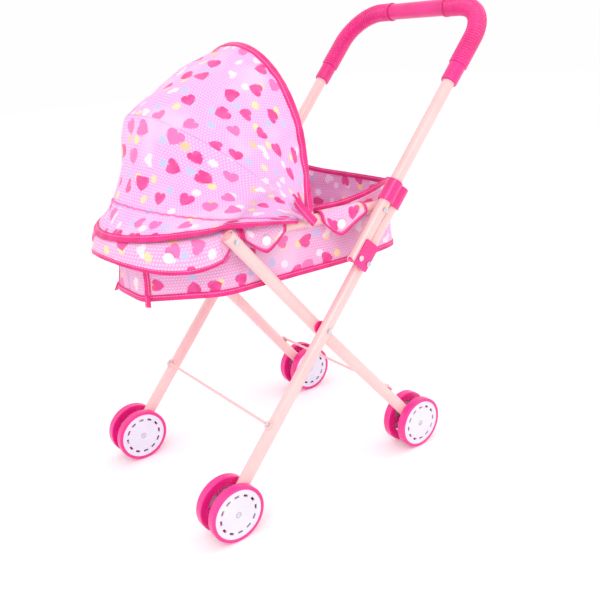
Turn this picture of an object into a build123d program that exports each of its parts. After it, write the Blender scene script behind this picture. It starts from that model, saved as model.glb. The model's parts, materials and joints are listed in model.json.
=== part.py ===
from build123d import *
from math import atan2, cos, degrees, radians, sin, tan
import os

# A folding doll stroller: crossed tube legs on four twin wheels, a pushing handle that swings
# forward to fold, a carrycot hung on a U-shaped rail, and a hood on two bows.
# +X is the direction of travel, +Y the stroller's left side, +Z up; sizes are in millimetres.

# ---------------------------------------------------------------- driving dimensions
# overall
overall_width = 260.0            # across the outer faces of the wheels
overall_height = 540.0           # ground to the top of the grip
wheelbase = 279.2                # between the front and rear axles
front_overhang = 48.8            # carrycot nose ahead of the front axle

# tubes and legs
tube_diameter = 14.4
tube_wall = 1.0
front_leg_lean = 41.3            # degrees from upright, leaning back
rear_leg_lean = 39.1             # degrees from upright, leaning forward
leg_foot = 7.0                   # tube left below each axle
front_leg_top_height = 330.0
rear_leg_tip = 9.0               # tube left beyond the carrycot pivot
rear_bow_start = 38.0            # along the rear leg from its axle, where it bends inward
rear_bow_end = 185.0             # and where it runs straight again
bow_radius = 180.0

# wheels
wheel_radius = 32.7
disc_width = 9.8
twin_clearance = 1.0             # the leg's tube to the discs, both sides together
rim_depth = 3.7
web_thickness = 2.0
web_inner_radius = 22.5
web_seat = 0.6                   # web and spokes in from the face beside the leg
rim_round = 1.0
cap_ledge_depth = 2.0            # ledge inside the rim that the cap rests on
cap_ledge_width = 1.5
hub_radius = 6.0
axle_radius = 2.0
cap_thickness = 1.8
cap_recess = 0.4
cap_slot_length = 6.0
cap_slot_width = 2.7
cap_slot_radius = 22.0
cap_slot_count = 12
spoke_pairs = 5
spoke_width = 1.8
spoke_spacing = 5.0
spoke_depth = 3.2
perforation_radius = 0.75
perforation_circle = 25.8
perforations_per_group = 5
perforation_step = 7.5           # degrees between the holes of a group

# clearances
running_clearance = 0.05         # a pin in the hole that turns on it
face_clearance = 0.3             # between faces that move past each other
sleeve_clearance = 0.3           # lock sleeve round its tube
plug_clearance = 0.5             # a tube's end plug to the rivet beside it

# fold hinge and handle
hinge_height = 263.0             # rivet of the hinge plate on the front leg
handle_outset = 2.5              # handle axis outboard of the leg axis
handle_bend_radius = 48.0
grip_radius = 11.5
grip_hose_radius = 11.2
grip_centre_radius = 10.0
grip_hose_run = 17.0             # ribbed hose past each bend, before the smooth centre
grip_collar_width = 3.5
grip_cuff_radius = 9.8
grip_cuff_length = 23.0
grip_start = 231.0               # along the handle from its hinge to the lower cuff
grip_clearance = 0.1

# hinge plate
plate_thickness = 1.5
plate_rear = 2.5                 # from the leg axis back to the plate's edge
plate_front = 4.5                # from the handle axis forward to the plate's edge
plate_below = 9.7
plate_above = 22.8
plate_corner = 2.0
plate_boss = 1.3                 # spacer round the rivet, wider than the rivet's head

# lock sleeve
lock_bottom = 72.0               # along the handle from its hinge
lock_length = 26.0
lock_wall = 1.8
lock_waist = 8.0
lock_cap = 6.0
lock_travel = 25.0

# rivets, screws and crossbars
rivet_radius = 2.0
rivet_head_radius = 3.2
rivet_head_height = 1.4
cross_washer_thickness = 2.2
cross_washer_radius = 8.0
crossbar_radius = 1.6
crossbar_eye_radius = 5.0
crossbar_eye_thickness = 1.6
front_crossbar_height = 106.0
rear_crossbar_height = 84.0
screw_radius = 1.2
screw_head_radius = 2.8
screw_depth = 6.0

# carrycot
rail_diameter = 13.0
rail_wall = 1.0
rail_height = 319.0
rail_rear_end = 7.0              # rail left behind its pivot on the handle
rail_leg_gap = 1.0               # between the rail and the rear leg beside it
rail_handle_gap = 1.4
cloth = 1.2                      # thickness of a cloth piece
cloth_clearance = 0.8            # cloth to the rail inside it
basket_floor_height = 264.0
basket_wall = 1.6
basket_front_gap = 13.5          # nose of the rail to the basket's front panel
basket_front_half = 32.0
basket_front_flat = 12.0         # half the part of the front panel that runs straight across
basket_corner_back = 35.0        # from the front panel back to the first corner of the side
basket_shoulder_back = 70.0      # and to the second
basket_mid_half = 80.0
basket_hip_half = 88.0
basket_tail_half = 78.0
basket_rear = -157.0
basket_tail_corner = 13.0        # tail corners ahead of the rear panel, at the floor
rim_tail_corner = 16.0           # and at the rim
rim_tail_spread = 8.0            # rim wider than the floor at the tail
under_rail = 2.0                 # the basket's side in from the rail's axis, where it is sewn
beside_rail = 2.5                # collar in from the rail's inner face
rim_height = 331.0
rim_rear_height = 347.0
rim_rise_start = -60.0
flap_drop = 21.0                 # flap edge below the rail's axis
flap_sweep = 75.0                # degrees each side of the nose
front_snap_angle = 62.0          # degrees each side of the nose
front_snap_rise = 4.0            # a front button's edge above the flap's edge
side_flap_lift = 4.0             # side flaps' edges above the front flap's
side_snap_rise = 11.0            # a side button's centre above the front flap's edge
middle_flap_ends = (18.0, 62.0)
rear_flap_ends = (-76.0, -26.0)
board_thickness = 2.0
board_margin = 3.0
binding_width = 6.5
binding_thickness = 1.2
snap_radius = 5.5
snap_height = 1.6

# hood
hood_pivot_x = -4.0
bow_leg = 81.5                   # straight part of a bow, from its pivot
bow_strip_width = 6.0
bow_strip_thickness = 1.6
bow_eye_radius = 5.0
hood_front_angle = 85.5          # degrees above the rail
hood_mid_angle = 42.0
hood_edge_radius = 18.0          # cloth starts this far from the pivot
bow_arc_steps = 10               # flat panels of cloth round a bow's arch
opening_edge = 1.5               # degrees each side of the front bow, covered by its binding
hem_binding_height = 4.0
hem_rear_gap = 23.8              # hem's rear end ahead of the hood's pivot
hem_middle_x = 46.0
hem_leg_x = 88.0                 # where the hem passes inside the rear leg's end
hem_leg_outset = 15.0            # there, outside the rail's axis
hem_slope = 0.06                 # fall of the hem toward the hood's pivot
hem_nose_fall = 3.8              # and toward the nose
hem_arc_half = 72.0              # degrees of hem each side of the nose
hem_arc_steps = 10
ribbon_length = 32.0
ribbon_width = 8.0
ribbon_start = 3.0               # from the pivot
ribbon_angle = 60.0              # degrees above the rail
layer_gap = 0.3                  # between cloth and the binding sewn over it
hem_over_leg = 1.2               # the hood's hem above the rear legs' ends

# ---------------------------------------------------------------- derived places
tube_radius = tube_diameter / 2
twin_gap = tube_diameter + twin_clearance
handle_pitch = tube_diameter + face_clearance   # handle axis ahead of the leg axis, square to it
rail_radius = rail_diameter / 2
front_axle_x = wheelbase / 2
leg_y = overall_width / 2 - disc_width - twin_gap / 2
lean_front = radians(front_leg_lean)
lean_rear = radians(rear_leg_lean)
up_front = Vector(-sin(lean_front), 0, cos(lean_front))
ahead_front = Vector(cos(lean_front), 0, sin(lean_front))
up_rear = Vector(sin(lean_rear), 0, cos(lean_rear))
behind_rear = Vector(-cos(lean_rear), 0, sin(lean_rear))
front_axle = Vector(front_axle_x, 0, wheel_radius)
rear_axle = Vector(-front_axle_x, 0, wheel_radius)


def front_leg_point(height):
    return front_axle + up_front * ((height - wheel_radius) / cos(lean_front))


def rear_leg_point(height):
    return rear_axle + up_rear * ((height - wheel_radius) / cos(lean_rear))


cross_height = wheel_radius + wheelbase / (tan(lean_front) + tan(lean_rear))
cross_pivot = front_leg_point(cross_height)
plate_rivet = front_leg_point(hinge_height)
fold_pivot = plate_rivet + ahead_front * handle_pitch
handle_y = leg_y + handle_outset
grip_centre_half = handle_y - handle_bend_radius - grip_hose_run
handle_length = (overall_height - grip_radius - fold_pivot.Z) / cos(lean_front)
rail_rear_pivot = fold_pivot + up_front * ((rail_height - fold_pivot.Z) / cos(lean_front))
rail_front_pivot = rear_leg_point(rail_height)
rear_upper_y = leg_y - tube_radius - face_clearance - cross_washer_thickness - tube_radius

hem_inner = rail_radius + cloth_clearance + 2 * cloth
hem_outer = hem_inner + cloth + layer_gap + binding_thickness
nose_x = front_axle_x + front_overhang - hem_outer
rail_front_y = rear_upper_y - tube_radius - rail_leg_gap - rail_radius
rail_rear_y = handle_y - tube_radius - rail_handle_gap - rail_radius
rail_flare = atan2(rail_rear_y - rail_front_y, rail_front_pivot.X - rail_rear_pivot.X)
nose_radius = ((rail_front_pivot.X - nose_x) * sin(rail_flare) + rail_front_y * cos(rail_flare)) / (
    1 - sin(rail_flare)
)
nose_centre_x = nose_x - nose_radius


def rail_y(x):
    """Distance of the rail's straight side from the middle plane."""
    return rail_front_y + (rail_front_pivot.X - x) * tan(rail_flare)


hood_pivot = Vector(hood_pivot_x, 0, rail_height)
bow_layer = rail_y(hood_pivot_x - bow_eye_radius) + rail_radius / cos(rail_flare) + face_clearance
mid_bow_half = bow_layer + bow_strip_thickness / 2
front_bow_half = mid_bow_half + bow_strip_thickness + face_clearance
hood_cloth_half = front_bow_half + bow_strip_thickness / 2 + face_clearance

# the origin is midway between the rearmost and foremost points, on the ground
rearmost = (fold_pivot + up_front * handle_length).X - grip_radius
foremost = front_axle_x + front_overhang
centre_shift = -(rearmost + foremost) / 2


# ---------------------------------------------------------------- helpers
def at_y(point, y):
    return Vector(point.X, y, point.Z)


def rod(start, end, radius):
    span = end - start
    return Solid.make_cylinder(radius, span.length, Plane(origin=start, z_dir=span))


def pipe(start, end, outer, inner):
    return rod(start, end, outer) - rod(start, end, inner)


def across(point, y_from, y_to, radius):
    """A round bar parallel to Y."""
    return rod(at_y(point, y_from), at_y(point, y_to), radius)


def swept(path, outer, inner):
    start = Plane(origin=path @ 0, z_dir=path % 0)
    if inner > 0:
        return sweep(start * (Circle(outer) - Circle(inner)), path=path)
    return sweep(start * Circle(outer), path=path)


def other_side(shape):
    return mirror(shape, about=Plane.XZ)


def both_sides(shape):
    return [shape, other_side(shape)]


def save(name, *shapes):
    solids = [solid for shape in shapes for solid in shape.solids()]
    moved = [Pos(centre_shift, 0, 0) * solid for solid in solids]
    export_step(moved[0] if len(moved) == 1 else Compound(moved), f"parts/{name}.step")


def polygon_solid(outer, inner):
    """A closed sheet between two grids of points, each a list of rows of equal length."""
    triangles = []

    def quad(a, b, c, d):
        triangles.append((a, b, d))
        triangles.append((b, c, d))

    rows = len(outer)
    columns = len(outer[0])
    for i in range(rows - 1):
        for j in range(columns - 1):
            quad(outer[i][j], outer[i][j + 1], outer[i + 1][j + 1], outer[i + 1][j])
            quad(inner[i][j], inner[i + 1][j], inner[i + 1][j + 1], inner[i][j + 1])
    for j in range(columns - 1):
        quad(outer[0][j], inner[0][j], inner[0][j + 1], outer[0][j + 1])
        quad(outer[-1][j], outer[-1][j + 1], inner[-1][j + 1], inner[-1][j])
    for i in range(rows - 1):
        quad(outer[i][0], outer[i + 1][0], inner[i + 1][0], inner[i][0])
        quad(outer[i][-1], inner[i][-1], inner[i + 1][-1], outer[i + 1][-1])
    faces = [Face(Wire.make_polygon([Vector(*p) for p in corners])) for corners in triangles]
    return Solid(Shell(faces))


# ---------------------------------------------------------------- wheels
def wheel_disc():
    """One disc about Z, its leg side at 0 and its capped side at disc_width."""
    cap_seat = disc_width - cap_recess - cap_thickness
    rim_inner = wheel_radius - rim_depth
    rim = Cylinder(wheel_radius, disc_width) - Cylinder(rim_inner, disc_width)
    rim = Pos(0, 0, disc_width / 2) * fillet(rim.edges().filter_by(GeomType.CIRCLE).group_by(
        lambda edge: edge.radius)[-1], rim_round)
    web = Cylinder(rim_inner, web_thickness) - Cylinder(web_inner_radius, web_thickness)
    body = rim + Pos(0, 0, web_seat + web_thickness / 2) * web
    ledge = Cylinder(rim_inner, cap_ledge_depth) - Cylinder(rim_inner - cap_ledge_width, cap_ledge_depth)
    body += Pos(0, 0, cap_seat - cap_ledge_depth / 2) * ledge
    body += Pos(0, 0, cap_seat / 2) * Cylinder(hub_radius, cap_seat)
    reach = (hub_radius + web_inner_radius) / 2
    for pair in range(spoke_pairs):
        turn = Rot(0, 0, 360 / spoke_pairs * pair)
        for offset in (-spoke_spacing / 2, spoke_spacing / 2):
            bar = Box(web_inner_radius - hub_radius + 5, spoke_width, spoke_depth)
            body += turn * Pos(reach, offset, web_seat + spoke_depth / 2) * bar
        for hole in range(perforations_per_group):
            from_middle = hole - (perforations_per_group - 1) / 2
            angle = 360 / spoke_pairs * (pair + 0.5) + perforation_step * from_middle
            drill = Cylinder(perforation_radius, 2 * web_thickness)
            body -= Rot(0, 0, angle) * Pos(perforation_circle, 0, web_seat + web_thickness / 2) * drill
    return body - Pos(0, 0, disc_width / 2) * Cylinder(axle_radius + running_clearance, 2 * disc_width)


def wheel_cap():
    """The slotted cap that fills a disc's outer side."""
    cap = Cylinder(wheel_radius - rim_depth - face_clearance, cap_thickness)
    cap -= Cylinder(rivet_head_radius + face_clearance, cap_thickness)
    for slot in range(cap_slot_count):
        cut = Box(cap_slot_width, cap_slot_length, 2 * cap_thickness)
        cap -= Rot(0, 0, 360 / cap_slot_count * slot) * Pos(cap_slot_radius, 0, 0) * cut
    return Pos(0, 0, disc_width - cap_recess - cap_thickness / 2) * cap


def twin_wheel(end_name, axle):
    """The four discs on one pair of axles, with the axles themselves."""
    disc = wheel_disc()
    cap = wheel_cap()
    head_top = twin_gap / 2 + disc_width - cap_recess
    head_base = head_top - cap_thickness + face_clearance
    axles = []
    for side_name, side in (("left", 1), ("right", -1)):
        for place_name, outward in (("outer", side), ("inner", -side)):
            seat = Plane(
                origin=at_y(axle, side * leg_y + outward * twin_gap / 2),
                x_dir=(1, 0, 0),
                z_dir=(0, outward, 0),
            )
            save(f"{end_name}_wheel_{side_name}_{place_name}", seat * disc)
            save(f"{end_name}_cap_{side_name}_{place_name}", seat * cap)
        shaft = across(axle, side * leg_y - head_base, side * leg_y + head_base, axle_radius)
        for outward in (-1, 1):
            shaft += across(
                axle,
                side * leg_y + outward * head_base,
                side * leg_y + outward * head_top,
                rivet_head_radius,
            )
        axles.append(shaft)
    save(f"{end_name}_axles", *axles)


# ---------------------------------------------------------------- front frame
def front_legs():
    top = front_leg_point(front_leg_top_height)
    foot = front_axle - up_front * leg_foot
    leg = pipe(at_y(foot, leg_y), at_y(top, leg_y), tube_radius, tube_radius - tube_wall)
    leg -= across(front_axle, leg_y - tube_diameter, leg_y + tube_diameter, axle_radius)
    cross_bore = rivet_radius + running_clearance
    leg -= across(cross_pivot, leg_y - tube_diameter, leg_y + tube_diameter, cross_bore)
    leg -= across(plate_rivet, leg_y - tube_diameter, leg_y + tube_diameter, rivet_radius)
    screw_at = at_y(front_leg_point(front_crossbar_height), leg_y)
    leg -= rod(screw_at, screw_at + ahead_front * tube_diameter, screw_radius)
    save("front_leg_left", leg)
    save("front_leg_right", other_side(leg))


def hinge_plates():
    inner_face = handle_y + tube_radius + face_clearance
    outer_face = inner_face + plate_thickness
    flat = Plane(origin=at_y(plate_rivet, inner_face), x_dir=ahead_front, z_dir=(0, 1, 0))
    width = plate_rear + handle_pitch + plate_front
    length = plate_below + plate_above
    centre = Pos(width / 2 - plate_rear, (plate_below - plate_above) / 2)
    outline = centre * RectangleRounded(width, length, plate_corner)
    plate = extrude(flat * outline, plate_thickness)
    plate += across(plate_rivet, leg_y + tube_radius, inner_face, rivet_head_radius + plate_boss)
    plate -= across(plate_rivet, leg_y, outer_face + 1, rivet_radius)
    plate -= across(fold_pivot, leg_y, outer_face + 1, rivet_radius + running_clearance)
    save("hinge_plate_left", plate)
    save("hinge_plate_right", other_side(plate))
    inner_end = leg_y - tube_radius
    rivet = across(plate_rivet, inner_end, outer_face, rivet_radius)
    rivet += across(plate_rivet, inner_end - rivet_head_height, inner_end, rivet_head_radius)
    rivet += across(plate_rivet, outer_face, outer_face + rivet_head_height, rivet_head_radius)
    save("hinge_plate_rivets", *both_sides(rivet))
    pivot_inner = handle_y - tube_radius
    pivot = across(fold_pivot, pivot_inner, outer_face + face_clearance, rivet_radius)
    pivot += across(fold_pivot, pivot_inner - rivet_head_height, pivot_inner, rivet_head_radius)
    head = outer_face + face_clearance
    pivot += across(fold_pivot, head, head + rivet_head_height, rivet_head_radius)
    save("fold_pivot_rivets", *both_sides(pivot))


def crossbar(name, centre, outward, half):
    """A thin bar with an eye at each end, screwed to one face of a pair of legs."""
    seat = centre + outward * tube_radius
    bar_axis = seat + outward * crossbar_radius
    reach = half - crossbar_eye_radius + 1
    bar = across(bar_axis, -reach, reach, crossbar_radius)
    screws = []
    for side in (1, -1):
        base = at_y(seat, side * half)
        bar += rod(base, base + outward * crossbar_eye_thickness, crossbar_eye_radius)
        bar -= rod(base - outward, base + outward * 3 * crossbar_radius, screw_radius)
        top = base + outward * crossbar_eye_thickness
        screw = rod(base - outward * screw_depth, top, screw_radius)
        screws.append(screw + rod(top, top + outward * crossbar_eye_thickness, screw_head_radius))
    save(f"{name}_crossbar", bar)
    save(f"{name}_crossbar_screws", *screws)


# ---------------------------------------------------------------- rear frame
def rear_leg_y(height):
    """Centre line of the bowed rear leg, measured from the middle plane."""
    run = (height - wheel_radius) / cos(lean_rear)
    share = (run - rear_bow_start) / (rear_bow_end - rear_bow_start)
    return leg_y - (leg_y - rear_upper_y) * min(max(share, 0), 1)


def rear_legs():
    pivot_run = (rail_height - wheel_radius) / cos(lean_rear)
    stations = (
        (-leg_foot, leg_y),
        (rear_bow_start, leg_y),
        (rear_bow_end, rear_upper_y),
        (pivot_run + rear_leg_tip, rear_upper_y),
    )
    points = [at_y(rear_axle + up_rear * run, y) for run, y in stations]
    path = FilletPolyline(*points, radius=bow_radius)
    leg = swept(path, tube_radius, tube_radius - tube_wall)
    rounding = rear_axle + up_rear * (pivot_run + rear_leg_tip - tube_radius)
    end_block = Plane(origin=at_y(rounding, rear_upper_y), x_dir=(0, 1, 0), z_dir=up_rear) * Pos(
        0, 0, tube_diameter / 2) * Box(2 * tube_diameter, 2 * tube_diameter, tube_diameter)
    end_cut = end_block - across(rounding, 0, 2 * leg_y, tube_radius)
    plug = rod(
        at_y(rail_front_pivot + up_rear * (rivet_radius + plug_clearance), rear_upper_y),
        at_y(rail_front_pivot + up_rear * rear_leg_tip, rear_upper_y),
        tube_radius - tube_wall,
    )
    leg -= end_cut
    leg -= across(rear_axle, leg_y - tube_diameter, leg_y + tube_diameter, axle_radius)
    leg -= across(cross_pivot, rear_upper_y - tube_diameter, leg_y, rivet_radius)
    leg -= across(rail_front_pivot, rear_upper_y - tube_diameter, leg_y, rivet_radius)
    screw_at = at_y(rear_leg_point(rear_crossbar_height), rear_leg_y(rear_crossbar_height))
    leg -= rod(screw_at, screw_at + behind_rear * tube_diameter, screw_radius)
    save("rear_leg_left", leg)
    save("rear_leg_right", other_side(leg))
    save("rear_leg_plugs", *both_sides(plug - end_cut))


def rear_pivots():
    outer_face = rear_upper_y + tube_radius
    inner_face = rear_upper_y - tube_radius
    washer = across(cross_pivot, outer_face, outer_face + cross_washer_thickness, cross_washer_radius)
    washer -= across(cross_pivot, outer_face, leg_y, rivet_radius)
    save("cross_washers", *both_sides(washer))
    head = leg_y + tube_radius + face_clearance
    cross = across(cross_pivot, inner_face, head, rivet_radius)
    cross += across(cross_pivot, inner_face - rivet_head_height, inner_face, rivet_head_radius)
    cross += across(cross_pivot, head, head + rivet_head_height, rivet_head_radius)
    save("cross_rivets", *both_sides(cross))
    front = across(rail_front_pivot, inner_face, outer_face, rivet_radius)
    front += across(rail_front_pivot, outer_face, outer_face + rivet_head_height, rivet_head_radius)
    save("rail_front_rivets", *both_sides(front))


# ---------------------------------------------------------------- handle and locks
def handle_path(start, finish_y):
    """Centre line of the left half, from a distance along the handle to a distance off the middle."""
    top = fold_pivot + up_front * handle_length
    first = at_y(fold_pivot + up_front * start, handle_y)
    corner = at_y(top, handle_y)
    return FilletPolyline(first, corner, at_y(top, finish_y), radius=handle_bend_radius)


def handle():
    half = swept(handle_path(-tube_radius, 0), tube_radius, tube_radius - tube_wall)
    tube = half + other_side(half)
    block = Plane(origin=at_y(fold_pivot, 0), x_dir=(0, 1, 0), z_dir=-up_front) * Pos(
        0, 0, tube_diameter / 2) * Box(3 * handle_y, 2 * tube_diameter, tube_diameter)
    end_cut = block - across(fold_pivot, -2 * handle_y, 2 * handle_y, tube_radius)
    tube -= end_cut
    tube -= across(fold_pivot, -2 * handle_y, 2 * handle_y, rivet_radius)
    tube -= across(rail_rear_pivot, -2 * handle_y, 2 * handle_y, rivet_radius)
    save("handle_tube", tube)
    plug_top = at_y(fold_pivot - up_front * (rivet_radius + plug_clearance), handle_y)
    plug = rod(plug_top - up_front * tube_radius, plug_top, tube_radius - tube_wall) - end_cut
    save("handle_end_plugs", *both_sides(plug))
    outer_face = handle_y + tube_radius
    rail_inner = rail_y(rail_rear_pivot.X + rivet_head_radius) - rail_radius / cos(rail_flare)
    inner_face = rail_inner - face_clearance
    pivot = across(rail_rear_pivot, inner_face, outer_face, rivet_radius)
    pivot += across(rail_rear_pivot, inner_face - rivet_head_height, inner_face, rivet_head_radius)
    pivot += across(rail_rear_pivot, outer_face, outer_face + rivet_head_height, rivet_head_radius)
    save("rail_rear_rivets", *both_sides(pivot))


def grips():
    bore = tube_radius + grip_clearance
    cuff_end = grip_start + grip_cuff_length
    cuff_from = at_y(fold_pivot + up_front * grip_start, handle_y)
    cuff_to = at_y(fold_pivot + up_front * cuff_end, handle_y)
    hose = swept(handle_path(cuff_end, grip_centre_half), grip_hose_radius, bore)
    hose += pipe(cuff_from, cuff_to, grip_cuff_radius, bore)
    save("grip_hose_left", hose)
    save("grip_hose_right", other_side(hose))
    top = fold_pivot + up_front * handle_length
    sleeve = across(top, -grip_centre_half, grip_centre_half, grip_centre_radius)
    for side in (1, -1):
        collar_from = side * (grip_centre_half - grip_collar_width)
        sleeve += across(top, collar_from, side * grip_centre_half, grip_radius)
    sleeve -= across(top, -grip_centre_half, grip_centre_half, bore)
    save("grip_centre_sleeve", sleeve)


def locks():
    """A sleeve on the handle with a second, open-backed barrel that drops over the leg's top."""
    bore = tube_radius + sleeve_clearance
    low = fold_pivot + up_front * lock_bottom
    high = low + up_front * lock_length
    leg_low = low - ahead_front * handle_pitch
    leg_high = high - ahead_front * handle_pitch
    on_handle = (at_y(low, handle_y), at_y(high, handle_y))
    on_leg = (at_y(leg_low, leg_y), at_y(leg_high, leg_y))
    body = rod(*on_handle, bore + lock_wall) + rod(*on_leg, bore + lock_wall)
    cap_low = on_leg[1] - up_front * lock_cap
    body -= rod(on_leg[0], cap_low, bore)
    seat = Plane(origin=on_leg[0], x_dir=ahead_front, z_dir=up_front)
    open_length = lock_length - lock_cap
    back = Pos(-tube_diameter, 0, open_length / 2) * Box(2 * tube_diameter, 2 * bore, open_length)
    waist = Pos(handle_pitch / 2, 0, open_length / 2) * Box(handle_pitch, lock_waist, open_length)
    body -= seat * back
    body -= seat * waist
    body -= rod(*on_handle, bore)
    save("lock_sleeve_left", body)
    save("lock_sleeve_right", other_side(body))


# ---------------------------------------------------------------- carrycot
def rail():
    back_x = rail_rear_pivot.X - rail_rear_end
    back = Vector(back_x, rail_y(back_x), rail_height)
    join = Vector(
        nose_centre_x + nose_radius * sin(rail_flare), nose_radius * cos(rail_flare), rail_height)
    nose = Vector(nose_x, 0, rail_height)
    far_join = Vector(join.X, -join.Y, join.Z)
    far_back = Vector(back.X, -back.Y, back.Z)
    path = Line(back, join) + ThreePointArc(join, nose, far_join) + Line(far_join, far_back)
    tube = swept(path, rail_radius, rail_radius - rail_wall)
    tube -= across(rail_rear_pivot, -2 * handle_y, 2 * handle_y, rivet_radius + running_clearance)
    tube -= across(hood_pivot, -2 * handle_y, 2 * handle_y, rivet_radius)
    save("rail_tube", tube)
    inner = rail_y(hood_pivot_x + rivet_head_radius) - rail_radius / cos(rail_flare)
    outer = hood_cloth_half
    pivot = across(hood_pivot, inner, outer, rivet_radius)
    pivot += across(hood_pivot, inner - rivet_head_height, inner, rivet_head_radius)
    pivot += across(hood_pivot, outer, outer + rivet_head_height, rivet_head_radius)
    save("hood_pivot_rivets", *both_sides(pivot))


nose_angles = (12, 36, 60, 90 - degrees(rail_flare))


def mirrored_face(half, height):
    """A flat face from the corners on one side of the middle plane."""
    corners = half + [(x, -y) for x, y in reversed(half)]
    return Plane.XY.offset(height) * make_face(Polyline(*corners, close=True))


def rim_half(inset):
    """Outline that follows the rail, moved inward, then closes behind the handle."""
    radius = nose_radius - inset
    arc = [
        (nose_centre_x + radius * cos(radians(angle)), radius * sin(radians(angle)))
        for angle in nose_angles
    ]
    sides = [(x, rail_y(x) - inset / cos(rail_flare)) for x in (0, rail_rear_pivot.X)]
    corner = (basket_rear + rim_tail_corner, basket_tail_half + rim_tail_spread - inset)
    return arc + sides + [corner, (basket_rear + inset, basket_tail_half / 2)]


def floor_half(inset):
    """Outline of the basket's floor: a flat nose, widening to the hips, drawn in at the tail."""
    front = nose_x + rail_radius - basket_front_gap
    return [
        (front - inset, basket_front_flat - inset / 2),
        (front - inset, basket_front_half - inset),
        (front - basket_corner_back - inset, (basket_front_half + basket_mid_half) / 2 - inset),
        (front - basket_shoulder_back, basket_mid_half - inset),
        (0, (basket_mid_half + basket_hip_half) / 2 - inset),
        (rail_rear_pivot.X, basket_hip_half - inset),
        (basket_rear + basket_tail_corner + inset, basket_tail_half - inset),
        (basket_rear + inset, basket_tail_half / 2 - inset / 2),
    ]


def basket():
    seam = rail_height - rail_radius - cloth_clearance
    collar_inset = rail_radius + beside_rail
    lower = loft([mirrored_face(floor_half(0), basket_floor_height),
                  mirrored_face(rim_half(under_rail), seam)], ruled=True)
    hollow = loft([mirrored_face(floor_half(basket_wall), basket_floor_height + basket_wall),
                   mirrored_face(rim_half(under_rail + basket_wall), seam - basket_wall)], ruled=True)
    collar_base = seam - basket_wall
    collar = extrude(mirrored_face(rim_half(collar_inset), collar_base), rim_rear_height - collar_base)
    bore = extrude(mirrored_face(rim_half(collar_inset + basket_wall), seam - 2 * basket_wall),
                   rim_rear_height - seam + 3 * basket_wall)
    side_cut = Plane.XZ * make_face(Polyline(
        (rim_rise_start, rim_height), (foremost, rim_height), (foremost, overall_height),
        (2 * basket_rear, overall_height), (2 * basket_rear, rim_rear_height),
        (basket_rear, rim_rear_height),
        close=True))
    shell = lower - hollow + collar - bore
    shell -= extrude(side_cut, overall_width, both=True)
    save("basket_shell", shell)
    board = mirrored_face(floor_half(basket_wall + board_margin), basket_floor_height + basket_wall)
    save("base_board", extrude(board, board_thickness))
    band = mirrored_face(floor_half(-binding_thickness), basket_floor_height)
    band -= mirrored_face(floor_half(0), basket_floor_height)
    save("basket_bottom_binding", extrude(band, -binding_width))


def flaps():
    inner = rail_radius + cloth_clearance
    outer = inner + cloth
    bottom = rail_height - flap_drop
    lid = rail_height + inner
    profile = Plane.XZ * make_face(Polyline(
        (nose_x + inner, bottom), (nose_x + outer, bottom), (nose_x + outer, lid + cloth),
        (nose_x - outer, lid + cloth), (nose_x - outer, lid), (nose_x + inner, lid), close=True))
    nose_axis = Axis((nose_centre_x, 0, 0), (0, 0, 1))
    front = revolve(profile.rotate(nose_axis, -flap_sweep), nose_axis, 2 * flap_sweep)
    save("flap_front", front)
    snaps = []
    for side in (1, -1):
        turn = radians(side * front_snap_angle)
        spot = Plane(origin=(nose_centre_x, 0, bottom + snap_radius + front_snap_rise), x_dir=(0, 0, 1),
                     z_dir=(cos(turn), sin(turn), 0))
        button = Cylinder(snap_radius, snap_height)
        snaps.append(spot * Pos(0, 0, nose_radius + outer + snap_height / 2) * button)
    save("snap_buttons", *snaps)
    for name, (x_from, x_to) in (("middle", middle_flap_ends), ("rear", rear_flap_ends)):
        length = x_to - x_from
        hang = Plane(origin=((x_from + x_to) / 2, rail_y((x_from + x_to) / 2), rail_height),
                     x_dir=(cos(rail_flare), -sin(rail_flare), 0), z_dir=(0, 0, 1))
        tall = flap_drop - side_flap_lift + inner + cloth
        flap = hang * Pos(0, inner + cloth / 2, inner + cloth - tall / 2) * Box(length, cloth, tall)
        flap += hang * Pos(0, -cloth / 2, inner + cloth / 2) * Box(length, 2 * inner + cloth, cloth)
        snap_at = Pos(0, outer + snap_height / 2, side_snap_rise - flap_drop)
        button = hang * snap_at * Rot(90, 0, 0) * Cylinder(snap_radius, snap_height)
        save(f"flaps_{name}", *both_sides(flap), *both_sides(button))


# ---------------------------------------------------------------- hood
def bow(half_width, angle, strip_at):
    """A flat strip bent to an arch, an eye at each end, leaning at an angle above the rail."""
    tilt = Plane(origin=hood_pivot, x_dir=(0, 1, 0), z_dir=(sin(radians(angle)), 0, -cos(radians(angle))))
    path = Line((half_width, 0), (half_width, bow_leg))
    path += CenterArc((0, bow_leg), half_width, 0, 180)
    path += Line((-half_width, bow_leg), (-half_width, 0))
    section = Plane(origin=(half_width, 0, 0), x_dir=(1, 0, 0), z_dir=(0, 1, 0)) * Rectangle(
        bow_strip_thickness, bow_strip_width)
    arch = sweep(section, path=path)
    for side in (1, -1):
        arch += Pos(side * half_width, 0, 0) * Rot(0, 90, 0) * Cylinder(bow_eye_radius, bow_strip_thickness)
    arch -= Rot(0, 90, 0) * Cylinder(rivet_radius + running_clearance, 4 * half_width)
    save(strip_at, tilt * arch)


def arch_row(angle, lift):
    """Points along the cloth over a bow, lifted off it, from the left pivot to the right."""
    half = hood_cloth_half + lift
    out = Vector(cos(radians(angle)), 0, sin(radians(angle)))
    legs = [(half, hood_edge_radius), (half, bow_leg * 0.5), (half, bow_leg * 0.8)]
    step = radians(180 / bow_arc_steps)
    round_out = half / cos(step / 2)
    turns = [step * k for k in range(bow_arc_steps + 1)]
    arc = [(round_out * cos(turn), bow_leg + round_out * sin(turn)) for turn in turns]
    flat = legs + arc + [(-y, run) for y, run in reversed(legs)]
    return [hood_pivot + out * run + Vector(0, y, 0) for y, run in flat]


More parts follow.
